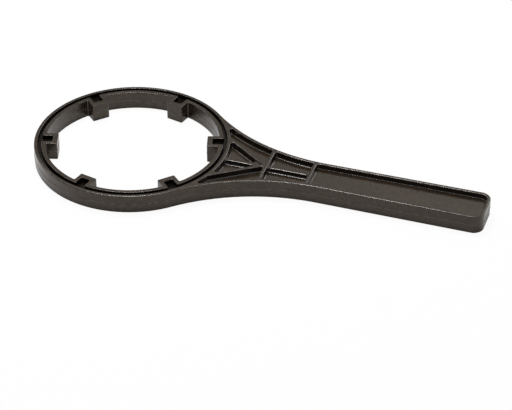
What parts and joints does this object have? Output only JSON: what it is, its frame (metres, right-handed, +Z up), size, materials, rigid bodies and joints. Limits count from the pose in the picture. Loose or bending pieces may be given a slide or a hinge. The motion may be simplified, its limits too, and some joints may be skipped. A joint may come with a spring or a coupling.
{
  "type": "filter housing wrench",
  "caption": "Moulded plastic ring wrench with cored inward lugs, a ribbed neck and a tray-shaped handle, for turning the bowl of a cartridge filter housing.",
  "frame": {"origin": "centre of the ring on the lower face", "axes": "+X from the ring's centre along the handle, +Y across it, +Z up through the ring, square to both faces"},
  "size_m": [0.3293, 0.1402, 0.0136],
  "materials": {
    "wrench": "satin moulded"
  },
  "bodies": {
    "root": {"wrench": "wrench"}
  },
  "joints": []
}
